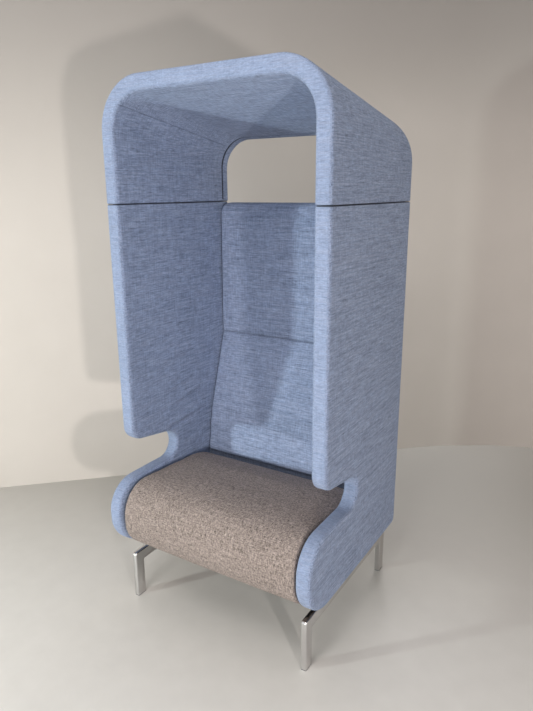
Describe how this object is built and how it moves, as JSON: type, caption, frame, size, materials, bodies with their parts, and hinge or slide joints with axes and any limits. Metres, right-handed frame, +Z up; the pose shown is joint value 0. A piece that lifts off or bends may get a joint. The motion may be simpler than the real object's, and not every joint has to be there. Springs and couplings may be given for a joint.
{
  "type": "pod sofa",
  "caption": "High-backed upholstered single seat with wing sides, an arched hood with an open rear window, a rounded seat front and slim chromed legs.",
  "frame": {"origin": "on the floor, under the middle of the pod", "axes": "+X across to the pod's right as seen from the front, +Y from the front to the rear, +Z up"},
  "size_m": [0.8, 0.7, 1.7864],
  "materials": {
    "blue_fabric": "woven melange, matte",
    "brown_fabric": "woven melange, matte",
    "chrome": "polished",
    "black_steel": "satin",
    "zinc_steel": "satin",
    "plywood": "raw",
    "timber": "raw",
    "foam": "open-cell foam, matte",
    "grey_plastic": "matte",
    "black_cloth": "non-woven, matte",
    "web_elastic": "woven, matte"
  },
  "bodies": {
    "root": {"left_leg_frame": "chrome", "right_leg_frame": "chrome", "front_left_glide": "grey_plastic", "front_right_glide": "grey_plastic", "rear_left_glide": "grey_plastic", "rear_right_glide": "grey_plastic", "front_bearer": "black_steel", "rear_bearer": "black_steel", "front_left_rail_bolt": "zinc_steel", "front_right_rail_bolt": "zinc_steel", "rear_left_rail_bolt": "zinc_steel", "rear_right_rail_bolt": "zinc_steel", "front_left_bearer_bolt": "zinc_steel", "front_right_bearer_bolt": "zinc_steel", "rear_left_bearer_bolt": "zinc_steel", "rear_right_bearer_bolt": "zinc_steel", "seat_front_rail": "timber", "seat_rear_rail": "timber", "seat_left_rail": "timber", "seat_right_rail": "timber", "seat_webbing": "web_elastic", "seat_foam": "foam", "seat_cover": "brown_fabric", "underside_lining": "black_cloth", "front_left_panel_bolt": "zinc_steel", "front_right_panel_bolt": "zinc_steel", "rear_left_panel_bolt": "zinc_steel", "rear_right_panel_bolt": "zinc_steel", "left_panel_board": "plywood", "right_panel_board": "plywood", "left_panel_foam": "foam", "right_panel_foam": "foam", "left_panel_cover": "blue_fabric", "right_panel_cover": "blue_fabric", "back_board": "plywood", "back_foam": "foam", "back_cover": "blue_fabric", "left_back_bracket": "zinc_steel", "right_back_bracket": "zinc_steel", "lower_left_side_screw": "zinc_steel", "lower_right_side_screw": "zinc_steel", "upper_left_side_screw": "zinc_steel", "upper_right_side_screw": "zinc_steel", "lower_left_back_screw": "zinc_steel", "lower_right_back_screw": "zinc_steel", "upper_left_back_screw": "zinc_steel", "upper_right_back_screw": "zinc_steel", "upper_left_back_pin": "zinc_steel", "upper_right_back_pin": "zinc_steel", "hood_shell": "plywood", "hood_foam": "foam", "hood_cover": "blue_fabric", "front_left_hood_pin": "zinc_steel", "front_right_hood_pin": "zinc_steel", "rear_left_hood_pin": "zinc_steel", "rear_right_hood_pin": "zinc_steel"}
  },
  "joints": []
}
